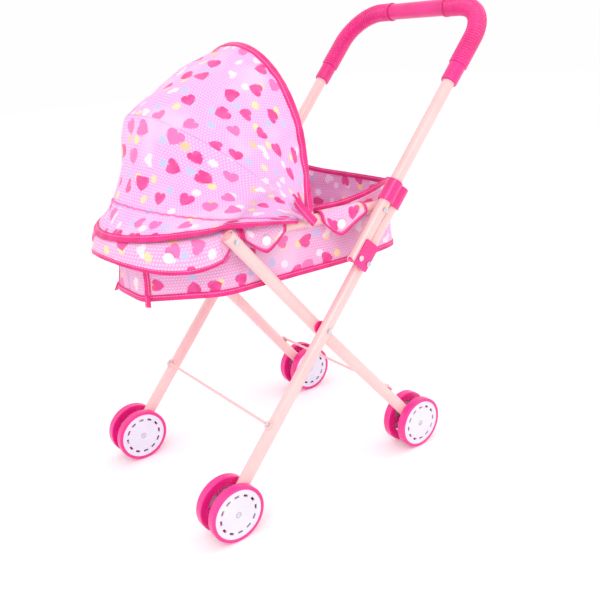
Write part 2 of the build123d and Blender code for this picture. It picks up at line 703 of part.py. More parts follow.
def hem_row(lift, height):
    """Points along the cloth's lower edge, which passes over the rear legs' tips and round the nose."""
    radius = nose_radius + hem_inner + lift
    leg_top = rail_front_pivot.Z + rear_leg_tip * cos(lean_rear) + tube_radius * sin(lean_rear)
    over_tip = leg_top + hem_over_leg + height
    side = [
        (hood_pivot_x + hem_rear_gap, hood_cloth_half + lift),
        (hem_middle_x, hood_cloth_half - 1 + lift),
        (hem_leg_x, rail_front_y + hem_leg_outset + lift),
    ]
    sides = [Vector(x, y, over_tip - (hem_leg_x - x) * hem_slope) for x, y in side]
    arc = []
    for k in range(hem_arc_steps + 1):
        angle = radians(hem_arc_half * (1 - 2 * k / hem_arc_steps))
        drop = hem_nose_fall * cos(angle) ** 2
        arc.append(Vector(nose_centre_x + radius * cos(angle), radius * sin(angle), over_tip - drop))
    return sides + arc + [Vector(p.X, -p.Y, p.Z) for p in reversed(sides)]


def hood():
    bow(front_bow_half, hood_front_angle, "hood_front_bow")
    bow(mid_bow_half, hood_mid_angle, "hood_mid_bow")
    front = hood_front_angle - 1
    save("hood_upper_cloth", polygon_solid(
        [arch_row(front, cloth), arch_row(hood_mid_angle + 1, cloth)],
        [arch_row(front, 0), arch_row(hood_mid_angle + 1, 0)]))
    save("hood_lower_cloth", polygon_solid(
        [arch_row(hood_mid_angle, cloth), hem_row(cloth, 0)],
        [arch_row(hood_mid_angle, 0), hem_row(0, 0)]))
    under = cloth + layer_gap
    over = under + binding_thickness
    above = hood_front_angle + opening_edge
    below = hood_front_angle - opening_edge
    save("hood_opening_binding", polygon_solid(
        [arch_row(above, under), arch_row(below, under)],
        [arch_row(above, over), arch_row(below, over)]))
    save("hood_hem_binding", polygon_solid(
        [hem_row(under, hem_binding_height), hem_row(under, 0)],
        [hem_row(over, hem_binding_height), hem_row(over, 0)]))
    out = Vector(cos(radians(ribbon_angle)), 0, sin(radians(ribbon_angle)))
    lay = hood_cloth_half + over + layer_gap
    middle = hood_pivot + out * (ribbon_start + ribbon_length / 2) + Vector(0, lay + cloth / 2, 0)
    ribbon = Plane(origin=middle, x_dir=out, z_dir=(0, 1, 0)) * Box(ribbon_length, ribbon_width, cloth)
    save("hood_ribbons", *both_sides(ribbon))


# ---------------------------------------------------------------- assembly
os.makedirs("parts", exist_ok=True)
twin_wheel("front", front_axle)
twin_wheel("rear", rear_axle)
front_legs()
hinge_plates()
crossbar("front", front_leg_point(front_crossbar_height), ahead_front, leg_y)
rear_legs()
rear_pivots()
crossbar("rear", rear_leg_point(rear_crossbar_height), behind_rear, rear_leg_y(rear_crossbar_height))
handle()
grips()
locks()
rail()
basket()
flaps()
hood()
for label, place in (
    ("front axle", front_axle), ("rear axle", rear_axle), ("cross pivot", cross_pivot),
    ("fold pivot", fold_pivot), ("rail rear pivot", rail_rear_pivot),
    ("rail front pivot", rail_front_pivot), ("hood pivot", hood_pivot),
):
    print(f"{label}: x {place.X + centre_shift:.3f}, z {place.Z:.3f}")
print(f"leg y {leg_y:.3f}, centre shift {centre_shift:.3f}")
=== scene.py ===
import json
import math

import bpy
import numpy as np
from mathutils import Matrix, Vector, noise


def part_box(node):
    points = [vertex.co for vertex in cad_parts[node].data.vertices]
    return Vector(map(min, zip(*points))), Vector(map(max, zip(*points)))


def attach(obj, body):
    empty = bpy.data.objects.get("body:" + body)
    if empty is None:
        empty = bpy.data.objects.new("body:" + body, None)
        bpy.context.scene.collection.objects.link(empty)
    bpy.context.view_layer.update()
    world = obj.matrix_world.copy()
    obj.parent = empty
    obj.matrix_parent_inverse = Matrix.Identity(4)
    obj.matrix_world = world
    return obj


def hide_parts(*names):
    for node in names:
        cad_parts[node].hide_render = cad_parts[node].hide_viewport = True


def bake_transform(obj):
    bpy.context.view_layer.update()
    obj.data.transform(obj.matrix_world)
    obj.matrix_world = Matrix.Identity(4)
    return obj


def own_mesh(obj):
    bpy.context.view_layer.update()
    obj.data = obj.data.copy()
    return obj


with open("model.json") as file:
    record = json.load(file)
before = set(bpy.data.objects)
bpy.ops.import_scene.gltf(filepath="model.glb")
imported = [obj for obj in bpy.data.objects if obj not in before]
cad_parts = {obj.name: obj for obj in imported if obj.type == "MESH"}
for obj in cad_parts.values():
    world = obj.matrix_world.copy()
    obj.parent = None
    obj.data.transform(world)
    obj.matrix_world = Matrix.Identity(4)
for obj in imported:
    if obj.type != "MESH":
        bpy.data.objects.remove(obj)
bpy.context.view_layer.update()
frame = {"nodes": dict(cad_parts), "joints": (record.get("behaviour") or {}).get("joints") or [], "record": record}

# ------------------------ places from the frame, in metres
MM = 0.001
joints = {joint["name"]: joint for joint in frame["joints"]}
fold_pivot = np.array(joints["fold"]["pos_m"])
hood_pivot = np.array(joints["hood_fold"]["pos_m"])
rail_rear = np.array(joints["carrycot_swing"]["pos_m"])
up_handle = np.array(joints["lock_left"]["axis"])
rail_low, rail_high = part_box("rail_tube")
rail_front_x = (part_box("rail_front_rivets")[0].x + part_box("rail_front_rivets")[1].x) / 2
rail_z = (rail_low.z + rail_high.z) / 2
rail_radius = (rail_high.z - rail_low.z) / 2
nose_radius = 80.2 * MM                 # of the rail's axis round the carrycot's nose
nose_x = rail_high.x - rail_radius
nose_centre = nose_x - nose_radius
rail_half_front = 80.9 * MM             # rail's axis off the middle plane at its front pivot
rail_half_rear = 99.9 * MM              # and at its rear pivot
flare = (rail_half_rear - rail_half_front) / (rail_front_x - rail_rear[0])
cloth = 1.2 * MM
tape_thick = 1.3 * MM

board_low, board_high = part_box("base_board")
shell_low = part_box("basket_shell")[0]
floor_z = shell_low.z
tail_x = shell_low.x
front_wall_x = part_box("basket_bottom_binding")[1].x - tape_thick
tube_radius = 7.2 * MM
sleeve_radius = 11.5 * MM               # of the grip's centre sleeve
handle_bend = 48 * MM
handle_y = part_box("handle_tube")[1].y - tube_radius
handle_run = (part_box("grip_centre_sleeve")[1].z - sleeve_radius - fold_pivot[2]) / up_handle[2]
hood_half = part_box("hood_upper_cloth")[1].y
bow_leg = 81.5 * MM                     # a bow's straight part, from the pivot to its bend
front_angle = math.radians(85.5)        # the front bow above level, at rest
mid_angle = math.radians(42.0)          # and the middle bow


# ------------------------ mesh helpers
def finish_mesh(name, points, faces, uvs=None, smooth=True):
    mesh = bpy.data.meshes.new(name)
    mesh.from_pydata([tuple(p) for p in points], [], faces)
    if uvs is not None:
        layer = mesh.uv_layers.new(name="UVMap")
        corners = np.array([uvs[loop.vertex_index] for loop in mesh.loops], np.float32)
        layer.data.foreach_set("uv", corners.ravel())
    mesh.polygons.foreach_set("use_smooth", [smooth] * len(mesh.polygons))
    mesh.update()
    piece = bpy.data.objects.new(name, mesh)
    bpy.context.scene.collection.objects.link(piece)
    return piece


def grid(name, points, uvs):
    """A sheet from an array of rows of points, with its UVs in metres of cloth."""
    rows, columns = points.shape[:2]
    faces = []
    for i in range(rows - 1):
        for j in range(columns - 1):
            k = j + 1
            faces.append((i * columns + j, i * columns + k, (i + 1) * columns + k, (i + 1) * columns + j))
    return finish_mesh(name, points.reshape(-1, 3), faces, uvs.reshape(-1, 2))


def thicken(piece, thickness, offset):
    """Give a sheet its thickness: inside it for an offset of -1, half each way for 0."""
    solidify = piece.modifiers.new("thickness", "SOLIDIFY")
    solidify.thickness = thickness
    solidify.offset = offset
    bake_modifiers(piece)
    return piece


def bake_modifiers(piece):
    """Leave the modifiers' result as the piece's own mesh."""
    graph = bpy.context.evaluated_depsgraph_get()
    graph.update()
    result = bpy.data.meshes.new_from_object(piece.evaluated_get(graph))
    piece.modifiers.clear()
    piece.data = result


def unit(vectors):
    return vectors / np.maximum(np.linalg.norm(vectors, axis=-1, keepdims=True), 1e-12)


def lengths(path):
    steps = np.linalg.norm(np.diff(path, axis=0), axis=1)
    return np.concatenate([[0], np.cumsum(steps)])


def resample(path, count):
    """The same line with evenly spaced points."""
    run = lengths(path)
    at = np.linspace(0, run[-1], count)
    return np.stack([np.interp(at, run, path[:, axis]) for axis in range(3)], axis=1)


def smooth_line(points, count, closed=False):
    """A Catmull-Rom curve through a few points, evenly resampled."""
    points = np.asarray(points, float)
    if closed:
        padded = np.concatenate([points[-1:], points, points[:2]])
    else:
        padded = np.concatenate([2 * points[:1] - points[1:2], points, 2 * points[-1:] - points[-2:-1]])
    out = []
    for i in range(1, len(padded) - 2):
        a, b, c, d = padded[i - 1:i + 3]
        for t in np.linspace(0, 1, 16, endpoint=False):
            out.append(0.5 * (2 * b + (c - a) * t + (2 * a - 5 * b + 4 * c - d) * t ** 2
                              + (3 * b - a - 3 * c + d) * t ** 3))
    out.append(padded[-2])
    return resample(np.array(out), count)


def ring_faces(rings, sides, closed=False):
    """Faces between rings of points, and over both ends unless the rings meet."""
    faces = []
    for i in range(rings if closed else rings - 1):
        n = (i + 1) % rings
        for k in range(sides):
            m = (k + 1) % sides
            faces.append((i * sides + k, i * sides + m, n * sides + m, n * sides + k))
    if not closed:
        faces.append(tuple(range(sides))[::-1])
        faces.append(tuple((rings - 1) * sides + k for k in range(sides)))
    return faces


def tape(name, centre, across, normal, width, thickness=tape_thick, closed=False):
    """Folded binding tape along a line: a soft-edged flat section, its UVs along and across the tape."""
    sides, edge_power, face_power, unevenness = 12, 0.45, 0.7, 0.07
    count = len(centre)
    width = np.broadcast_to(width, (count,))
    across, normal = unit(across), unit(normal)
    run = lengths(centre)
    points, uvs = [], []
    for i in range(count):
        for k in range(sides):
            turn = 2 * math.pi * k / sides
            flat = np.sign(math.cos(turn)) * abs(math.cos(turn)) ** edge_power
            high = np.sign(math.sin(turn)) * abs(math.sin(turn)) ** face_power
            ripple = 1 + unevenness * noise.noise(Vector((run[i] * 160, k * 0.4, len(name))))
            points.append(centre[i] + across[i] * flat * width[i] / 2 * ripple
                          + normal[i] * high * thickness / 2 * ripple)
            uvs.append((run[i], flat * width[i] / 2 + 0.5))
    return finish_mesh(name, points, ring_faces(count, sides, closed), uvs)


def tube_along(name, path, radii, sides):
    """A round body along a line, its radius given at each point."""
    tangent = unit(np.gradient(path, axis=0))
    side = np.cross(tangent[0], [0.0, 0.0, 1.0])
    side = side / np.linalg.norm(side)
    points, uvs = [], []
    run = lengths(path)
    for i, centre in enumerate(path):
        side = side - tangent[i] * (side @ tangent[i])
        side = side / np.linalg.norm(side)
        other = np.cross(tangent[i], side)
        for k in range(sides):
            turn = 2 * math.pi * k / sides
            points.append(centre + radii[i] * (side * math.cos(turn) + other * math.sin(turn)))
            uvs.append((run[i], radii[i] * turn))
    return finish_mesh(name, points, ring_faces(len(path), sides), uvs)


def lathe(name, centre, axis, profile):
    """A turned piece: profile is a list of (radius, height along the axis)."""
    sides = 32
    axis = unit(np.array(axis, float))
    side = unit(np.cross(axis, [0.3, 0.2, 1.0]))
    other = np.cross(axis, side)
    points = []
    for radius, height in profile:
        for k in range(sides):
            turn = 2 * math.pi * k / sides
            points.append(np.array(centre) + axis * height
                          + radius * (side * math.cos(turn) + other * math.sin(turn)))
    return finish_mesh(name, points, ring_faces(len(profile), sides))


def crumple(points, scale, seed):
    """Smooth noise between -1 and 1 at each point, for slack cloth."""
    flat = points.reshape(-1, 3)
    values = [noise.noise(Vector((p[0] / scale + seed, p[1] / scale, p[2] / scale))) for p in flat]
    return np.array(values).reshape(points.shape[:-1])


def grid_normals(points):
    return unit(np.cross(np.gradient(points, axis=1), np.gradient(points, axis=0)))


# ------------------------ materials
class Shader:
    """A node tree with short ways to add maths to it."""

    def __init__(self, name, **sockets):
        self.material = bpy.data.materials.new(name)
        self.material.use_nodes = True
        self.tree = self.material.node_tree
        self.tree.nodes.clear()
        output = self.add("ShaderNodeOutputMaterial")
        self.surface = self.add("ShaderNodeBsdfPrincipled")
        self.link(self.surface.outputs[0], output.inputs[0])
        for socket, value in sockets.items():
            self.surface.inputs[socket.replace("_", " ")].default_value = value

    def add(self, kind, **settings):
        node = self.tree.nodes.new(kind)
        for key, value in settings.items():
            setattr(node, key, value)
        return node

    def link(self, source, target):
        self.tree.links.new(source, target)

    def feed(self, target, value):
        if isinstance(value, bpy.types.NodeSocket):
            self.link(value, target)
        else:
            target.default_value = value

    def math(self, operation, *values):
        node = self.add("ShaderNodeMath", operation=operation)
        for i, value in enumerate(values):
            self.feed(node.inputs[i], value)
        return node.outputs[0]

    def mix(self, factor, a, b):
        node = self.add("ShaderNodeMix", data_type="RGBA")
        self.feed(node.inputs[0], factor)
        self.feed(node.inputs[6], a if isinstance(a, bpy.types.NodeSocket) else (*a, 1))
        self.feed(node.inputs[7], b if isinstance(b, bpy.types.NodeSocket) else (*b, 1))
        return node.outputs[2]

    def remap(self, value, low, high, to_low=0.0, to_high=1.0):
        node = self.add("ShaderNodeMapRange", interpolation_type="SMOOTHSTEP")
        for i, v in enumerate((value, low, high, to_low, to_high)):
            self.feed(node.inputs[i], v)
        return node.outputs[0]

    def noise(self, scale, detail=2.0, vector=None):
        node = self.add("ShaderNodeTexNoise")
        node.inputs["Scale"].default_value = scale
        node.inputs["Detail"].default_value = detail
        self.link(vector or self.place(), node.inputs["Vector"])
        return node.outputs[0]

    def place(self):
        return self.add("ShaderNodeTexCoord").outputs["Object"]

    def uv(self):
        split = self.add("ShaderNodeSeparateXYZ")
        self.link(self.add("ShaderNodeTexCoord").outputs["UV"], split.inputs[0])
        return split.outputs[0], split.outputs[1]

    def bump(self, height, strength, distance):
        node = self.add("ShaderNodeBump")
        node.inputs["Strength"].default_value = strength
        node.inputs["Distance"].default_value = distance
        self.link(height, node.inputs["Height"])
        self.link(node.outputs[0], self.surface.inputs["Normal"])

    def colour(self, value):
        self.feed(self.surface.inputs["Base Color"], value)

    def rough(self, value):
        self.feed(self.surface.inputs["Roughness"], value)


def cell_frame(s, u, v, cell, seed, wander):
    """Splits the cloth into cells: local x and y from a wandering centre, and three random numbers."""
    cu = s.math("DIVIDE", u, cell)
    cv = s.math("DIVIDE", v, cell)
    row = s.math("FLOOR", cv)
    cu = s.math("ADD", cu, s.math("MULTIPLY", row, 0.5))
    column = s.math("FLOOR", cu)
    join = s.add("ShaderNodeCombineXYZ")
    s.link(s.math("ADD", column, 0.5), join.inputs[0])
    s.link(s.math("ADD", row, 0.5), join.inputs[1])
    join.inputs[2].default_value = seed
    white = s.add("ShaderNodeTexWhiteNoise", noise_dimensions="3D")
    s.link(join.outputs[0], white.inputs["Vector"])
    split = s.add("ShaderNodeSeparateColor")
    s.link(white.outputs["Color"], split.inputs[0])
    first, second, third = split.outputs[0], split.outputs[1], split.outputs[2]

    def local(value, whole, random):
        inside = s.math("SUBTRACT", s.math("SUBTRACT", value, whole), 0.5)
        shift = s.math("MULTIPLY", s.math("SUBTRACT", random, 0.5), wander)
        return s.math("MULTIPLY", s.math("SUBTRACT", inside, shift), cell)

    return local(cu, column, second), local(cv, row, third), first, second, third


def turned(s, x, y, angle):
    c, w = s.math("COSINE", angle), s.math("SINE", angle)
    across = s.math("SUBTRACT", s.math("MULTIPLY", x, c), s.math("MULTIPLY", y, w))
    along = s.math("ADD", s.math("MULTIPLY", x, w), s.math("MULTIPLY", y, c))
    return across, along


def heart(s, x, y, size):
    """1 inside a heart about two sizes wide, 0 outside."""
    x, y = s.math("DIVIDE", x, size), s.math("DIVIDE", y, size)
    xx, yy = s.math("MULTIPLY", x, x), s.math("MULTIPLY", y, y)
    ball = s.math("SUBTRACT", s.math("ADD", xx, yy), 1.0)
    cube = s.math("MULTIPLY", s.math("MULTIPLY", ball, ball), ball)
    lobe = s.math("MULTIPLY", xx, s.math("MULTIPLY", yy, y))
    return s.remap(s.math("SUBTRACT", cube, lobe), 0.03, -0.03)


def disc_distance(s, x, y, at):
    dx, dy = s.math("SUBTRACT", x, at[0]), s.math("SUBTRACT", y, at[1])
    return s.math("SQRT", s.math("ADD", s.math("MULTIPLY", dx, dx), s.math("MULTIPLY", dy, dy)))


def between(s, value, low, high):
    return s.math("MULTIPLY", s.math("GREATER_THAN", value, low), s.math("LESS_THAN", value, high))


def print_colour(s, u, v, ground, speck):
    """Dots, soft pastel spots, plain clouds and hearts, printed on the cloth."""
    dot_cell, spot_cell, heart_cell, heart_size = 3.3 * MM, 23 * MM, 29 * MM, 6.9 * MM
    spot_seed, heart_seed = 3.0, 11.0
    cloud_from = 0.72                    # cells with a higher random number hold a cloud
    du, dv, *_ = cell_frame(s, u, v, dot_cell, 0.0, 0.0)
    dot = s.remap(disc_distance(s, du, dv, (0, 0)), 1.15 * MM, 0.65 * MM)
    colour = s.mix(s.math("MULTIPLY", dot, 0.75), ground, speck)
    blur = s.noise(22.0, 1.0)
    colour = s.mix(s.remap(blur, 0.5, 0.75), colour, (0.92, 0.56, 0.80))
    x, y, pick, *_ = cell_frame(s, u, v, spot_cell, spot_seed, 0.55)
    spot = s.remap(disc_distance(s, x, y, (0, 0)), 5.6 * MM, 3.2 * MM)
    for low, high, tint in ((0.0, 0.26, (1.0, 0.80, 0.30)), (0.26, 0.36, (1.0, 0.60, 0.22)),
                            (0.36, 0.62, (0.50, 0.58, 0.90)), (0.62, 0.80, (0.98, 0.86, 0.97))):
        here = s.math("MULTIPLY", spot, between(s, pick, low, high))
        colour = s.mix(s.math("MULTIPLY", here, 0.8), colour, tint)
    x, y, pick, lean, swell = cell_frame(s, u, v, heart_cell, heart_seed, 0.50)
    turn = s.math("MULTIPLY", s.math("SUBTRACT", lean, 0.5), 3.6)
    hx, hy = turned(s, x, y, turn)
    size = s.math("MULTIPLY", s.math("ADD", s.math("MULTIPLY", swell, 0.30), 0.85), heart_size)
    shape = heart(s, hx, hy, size)
    shade = s.noise(90.0, 1.0)
    hot = s.mix(s.remap(shade, 0.35, 0.65), (0.83, 0.055, 0.29), (0.88, 0.10, 0.36))
    colour = s.mix(s.math("MULTIPLY", shape, s.math("LESS_THAN", pick, 0.42)), colour, hot)
    colour = s.mix(s.math("MULTIPLY", shape, between(s, pick, 0.42, 0.66)), colour, (0.92, 0.19, 0.50))
    centres = ((-4.2 * MM, 0), (0, 2.2 * MM), (4.4 * MM, 0.4 * MM))
    radii = (3.6 * MM, 4.6 * MM, 3.2 * MM)
    lobes = [disc_distance(s, hx, hy, centre) for centre in centres]
    edge = [s.math("SUBTRACT", lobe, radius) for lobe, radius in zip(lobes, radii)]
    cloud = s.math("MINIMUM", s.math("MINIMUM", edge[0], edge[1]), edge[2])
    clouded = s.math("GREATER_THAN", pick, cloud_from)
    inside = s.math("MULTIPLY", s.remap(cloud, 0.2 * MM, -0.2 * MM), clouded)
    colour = s.mix(s.math("MULTIPLY", inside, 0.75), colour, (0.98, 0.84, 0.95))
    ring = s.remap(s.math("ABSOLUTE", cloud), 0.45 * MM, 0.15 * MM)
    return s.mix(s.math("MULTIPLY", s.math("MULTIPLY", ring, clouded), 0.55), colour, (0.80, 0.30, 0.58))


def weave(s, u, v, thread):
    """Height of a plain weave of that thread pitch."""
    turn = 2 * math.pi / thread
    return s.math("MULTIPLY", s.math("SINE", s.math("MULTIPLY", u, turn)),
                  s.math("SINE", s.math("MULTIPLY", v, turn)))


def print_cloth(name, ground):
    s = Shader(name, Roughness=0.72, Sheen_Weight=0.25, Sheen_Roughness=0.5)
    s.surface.inputs["Specular IOR Level"].default_value = 0.3
    u, v = s.uv()
    s.colour(print_colour(s, u, v, ground, (0.96, 0.72, 0.90)))
    s.rough(s.remap(s.noise(60.0), 0.3, 0.7, 0.62, 0.82))
    soft = s.math("MULTIPLY", s.noise(45.0, 3.0), 1.6)
    height = s.math("ADD", s.math("MULTIPLY", weave(s, u, v, 0.7 * MM), 0.10), soft)
    s.bump(height, 0.45, 1.1 * MM)
    return s.material


def tape_cloth(name, base, dark, stitch):
    """Binding tape: ribbed along its length, a row of stitches beside its middle."""
    s = Shader(name, Roughness=0.6, Sheen_Weight=0.2, Sheen_Roughness=0.4)
    u, v = s.uv()
    ribs = s.math("SINE", s.math("MULTIPLY", v, 2 * math.pi / (1.1 * MM)))
    threads = s.math("SINE", s.math("MULTIPLY", u, 2 * math.pi / (0.9 * MM)))
    colour = s.mix(s.remap(s.noise(70.0, 3.0), 0.35, 0.65), base, dark)
    off_line = s.math("ABSOLUTE", s.math("SUBTRACT", v, 0.5 + 1.5 * MM))
    line = s.remap(off_line, 0.45 * MM, 0.2 * MM)
    dash = s.math("LESS_THAN", s.math("FRACT", s.math("DIVIDE", u, 3.0 * MM)), 0.72)
    colour = s.mix(s.math("MULTIPLY", s.math("MULTIPLY", line, dash), 0.7), colour, stitch)
    s.colour(colour)
    s.rough(s.remap(s.noise(120.0), 0.3, 0.7, 0.48, 0.68))
    height = s.math("ADD", s.math("MULTIPLY", ribs, 0.25), s.math("MULTIPLY", threads, 0.12))
    s.bump(s.math("SUBTRACT", height, s.math("MULTIPLY", line, 0.8)), 0.5, 0.25 * MM)
    return s.material


def moulded(name, base, deep, coat=0.5, rough=0.3):
    """Moulded plastic: faint flow marks in its colour, a fine grain and small handling scratches."""
    grain = 900.0
    s = Shader(name, Roughness=rough, Coat_Weight=coat, Coat_Roughness=0.12)
    flow = s.noise(28.0, 3.0)
    s.colour(s.mix(s.remap(flow, 0.35, 0.7), base, deep))
    stretch = s.add("ShaderNodeMapping")
    s.link(s.place(), stretch.inputs[0])
    stretch.inputs["Scale"].default_value = (1.0, 9.0, 1.0)
    scratch = s.remap(s.noise(160.0, 4.0, stretch.outputs[0]), 0.62, 0.72)
    skin = s.remap(s.noise(grain), 0.3, 0.7, rough - 0.04, rough + 0.06)
    s.rough(s.math("ADD", s.math("MULTIPLY", scratch, 0.12), skin))
    s.bump(s.math("ADD", s.noise(grain), s.math("MULTIPLY", scratch, -0.5)), 0.12, 0.12 * MM)
    return s.material


def enamel(name, base, thin):
    """Sprayed enamel on steel tube: slight orange peel, thinner tone in patches, a few rubbed marks."""
    s = Shader(name, Roughness=0.28, Coat_Weight=0.6, Coat_Roughness=0.08)
    s.colour(s.mix(s.remap(s.noise(16.0, 3.0), 0.3, 0.75), base, thin))
    rub = s.remap(s.noise(210.0, 5.0), 0.66, 0.74)
    s.rough(s.math("ADD", s.math("MULTIPLY", rub, 0.18), s.remap(s.noise(70.0), 0.3, 0.7, 0.22, 0.34)))
    s.bump(s.noise(420.0, 1.0), 0.10, 0.10 * MM)
    return s.material


def zinc(name):
    """Bright plated steel with turning marks and dull specks."""
    s = Shader(name, Metallic=1.0, Roughness=0.22)
    s.colour(s.mix(s.remap(s.noise(300.0, 3.0), 0.4, 0.7), (0.72, 0.72, 0.75), (0.50, 0.49, 0.52)))
    s.rough(s.remap(s.noise(500.0, 3.0), 0.3, 0.7, 0.16, 0.38))
    s.bump(s.noise(1500.0, 2.0), 0.2, 0.05 * MM)
    return s.material


PRINT = print_cloth("print_cloth", (0.80, 0.39, 0.76))
LINING = print_cloth("print_lining", (0.80, 0.34, 0.66))
BASKET = print_cloth("print_basket", (0.86, 0.39, 0.68))
TAPE = tape_cloth("binding_tape", (0.86, 0.022, 0.25), (0.72, 0.012, 0.19), (0.98, 0.42, 0.62))
SEAM = tape_cloth("seam_thread", (0.84, 0.20, 0.50), (0.80, 0.14, 0.42), (0.95, 0.50, 0.72))
HOT = moulded("hot_pink_plastic", (0.90, 0.013, 0.27), (0.80, 0.010, 0.22))
WHEEL = moulded("wheel_plastic", (0.90, 0.014, 0.28), (0.80, 0.010, 0.22), coat=0.35, rough=0.34)
HOSE = moulded("hose_plastic", (0.86, 0.018, 0.26), (0.74, 0.012, 0.20), coat=0.3, rough=0.36)
CAP = moulded("cap_plastic", (0.80, 0.77, 0.88), (0.75, 0.71, 0.85), coat=0.4, rough=0.3)
SNAP = moulded("snap_plastic", (0.90, 0.88, 0.90), (0.86, 0.82, 0.86), coat=0.5, rough=0.25)
STRIP = moulded("bow_plastic", (0.90, 0.66, 0.74), (0.86, 0.58, 0.68), coat=0.1, rough=0.5)
TUBE = enamel("tube_enamel", (0.93, 0.58, 0.57), (0.90, 0.52, 0.52))
ZINC = zinc("rivet_steel")
BY_SLOT = {
    "tube_paint": TUBE, "pink_plastic": HOT, "grip_plastic": HOSE, "wheel_plastic": WHEEL,
    "cap_plastic": CAP, "rivet_steel": ZINC, "print_cloth": PRINT, "binding_tape": TAPE,
    "bow_plastic": STRIP, "board": LINING, "snap_plastic": SNAP,
}
for row in frame["record"]["subparts"]:
    mesh = frame["nodes"][row["node"]].data
    mesh.materials.clear()
    mesh.materials.append(BY_SLOT[row["material_slot"]])


def dress(piece, material, body=None, replaced=()):
    piece.data.materials.clear()
    piece.data.materials.append(material)
    if replaced:
        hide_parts(*replaced)
    if body:
        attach(piece, body)
    return piece


# ------------------------ hood
EDGE = 14 * MM                       # the cloth starts this far from the pivot
LEG = bow_leg - EDGE
ARC = math.pi / 2 * hood_half
HALF_BOW = LEG + ARC
ARC_SHARE = ARC / HALF_BOW
HEM_ANGLE = math.radians(72)
HEM_RADIUS = nose_radius + rail_radius + 7.2 * MM
HEM_BACK = hood_pivot[0] + 21 * MM
HEM_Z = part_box("hood_hem_binding")[0].z + 4.5 * MM
LEG_TIP_X = rail_front_x + 4 * MM
HOOD_COLUMNS = 180
UPPER_ROWS = 44
LOWER_ROWS = 56
SEAM_ROW = 42                        # of the lower cloth, where its sewn line runs
SEAM_SHARE = 0.78                    # where the ridge by that line stands, from bow to hem


def bow_point(s, angle):
    """A point on an arch over the pivots: s runs from 1 at the left pivot to -1 at the right."""
    share = abs(s)
    if share <= ARC_SHARE:
        turn = share / ARC_SHARE * math.pi / 2
        y, run = hood_half * math.sin(turn), bow_leg + hood_half * math.cos(turn)
    else:
        y, run = hood_half, bow_leg - (share - ARC_SHARE) / (1 - ARC_SHARE) * LEG
    out = np.array([math.cos(angle), 0, math.sin(angle)])
    return hood_pivot + out * run + np.array([0, math.copysign(y, s) if s else 0.0, 0])


def hem_point(s):
    """A point on the hood's lower edge, round the nose and back over the rear legs' ends."""
    share = abs(s)
    if share <= ARC_SHARE:
        turn = share / ARC_SHARE * HEM_ANGLE
        x, y = nose_centre + HEM_RADIUS * math.cos(turn), HEM_RADIUS * math.sin(turn)
        z = HEM_Z - 5 * MM * math.cos(turn) ** 2
    else:
        t = (share - ARC_SHARE) / (1 - ARC_SHARE)
        from_x = nose_centre + HEM_RADIUS * math.cos(HEM_ANGLE)
        from_y = HEM_RADIUS * math.sin(HEM_ANGLE)
        x = from_x + (HEM_BACK - from_x) * t
        y = from_y + (hood_half - from_y) * math.sin(t * math.pi / 2) ** 0.8
        y -= 7 * MM * math.exp(-((x - LEG_TIP_X) / (15 * MM)) ** 2)
        z = HEM_Z - 0.4 * MM - 8 * MM * t ** 3
    return np.array([x, math.copysign(y, s) if s else 0.0, z])


def across_hood(count):
    return np.linspace(1, -1, count)


def upper_grid(columns, rows):
    """Cloth from the front bow to the middle bow, slack between them."""
    low_middle = hood_pivot + np.array([0, 0, 30 * MM])
    points = np.zeros((rows, columns, 3))
    for j, s in enumerate(across_hood(columns)):
        a, b = bow_point(s, front_angle), bow_point(s, mid_angle)
        middle = bow_point(s, (front_angle + mid_angle) / 2)
        for i, t in enumerate(np.linspace(0, 1, rows)):
            straight = a + (b - a) * t
            angle = front_angle + (mid_angle - front_angle) * t
            points[i, j] = straight * 0.5 + bow_point(s, angle) * 0.5
            pull = 4 * t * (1 - t) * (1 - 0.5 * abs(s))
            points[i, j] += (low_middle - middle) * 0.012 * pull
    return points


def lower_grid(columns, rows):
    """Cloth from the middle bow down to the hem: nearly upright, then flared over the rail."""
    hollow_depth = 17 * MM
    points = np.zeros((rows, columns, 3))
    for j, s in enumerate(across_hood(columns)):
        a, b = bow_point(s, mid_angle), hem_point(s)
        for i, t in enumerate(np.linspace(0, 1, rows)):
            p = a + (b - a) * t
            hollow = math.sin(math.pi * t ** 1.6) * (0.35 + 0.65 * math.cos(s * math.pi / 2) ** 2)
            inward = np.array([-(p[0] - hood_pivot[0]), -p[1] * 0.35, 0])
            points[i, j] = p + inward / np.linalg.norm(inward) * hollow * hollow_depth
    return points


def hood_wrinkles(points, share_down, seed):
    """Puckers from edge to edge and soft slack, both easing out at the cloth's two edges."""
    normal = grid_normals(points)
    columns = points.shape[1]
    along = np.linspace(1, -1, columns)[None, :]
    slack = crumple(points, 46 * MM, seed) * 3.8 * MM + crumple(points, 19 * MM, seed + 5) * 1.5 * MM
    fan = np.sin(along * 46 + crumple(points, 60 * MM, seed + 9) * 5) * 0.8 * MM
    edge = np.minimum(share_down, 1 - share_down)[:, None]
    free = np.clip(edge / 0.12, 0, 1)
    return points + normal * ((slack + fan) * free)[..., None]


def cloth_uv(points, offset):
    """UVs in metres of cloth from the grid's own lengths."""
    rows, columns = points.shape[:2]
    middle = rows // 2
    run = lengths(points[middle])
    down = lengths(points[:, columns // 2])
    u = np.broadcast_to(run[None, :] + offset[0], (rows, columns))
    v = np.broadcast_to(-down[:, None] + offset[1], (rows, columns))
    return np.stack([u, v], axis=-1)


def blend_cloth(piece):
    """Bake the piece's placement into its own mesh."""
    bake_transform(piece)


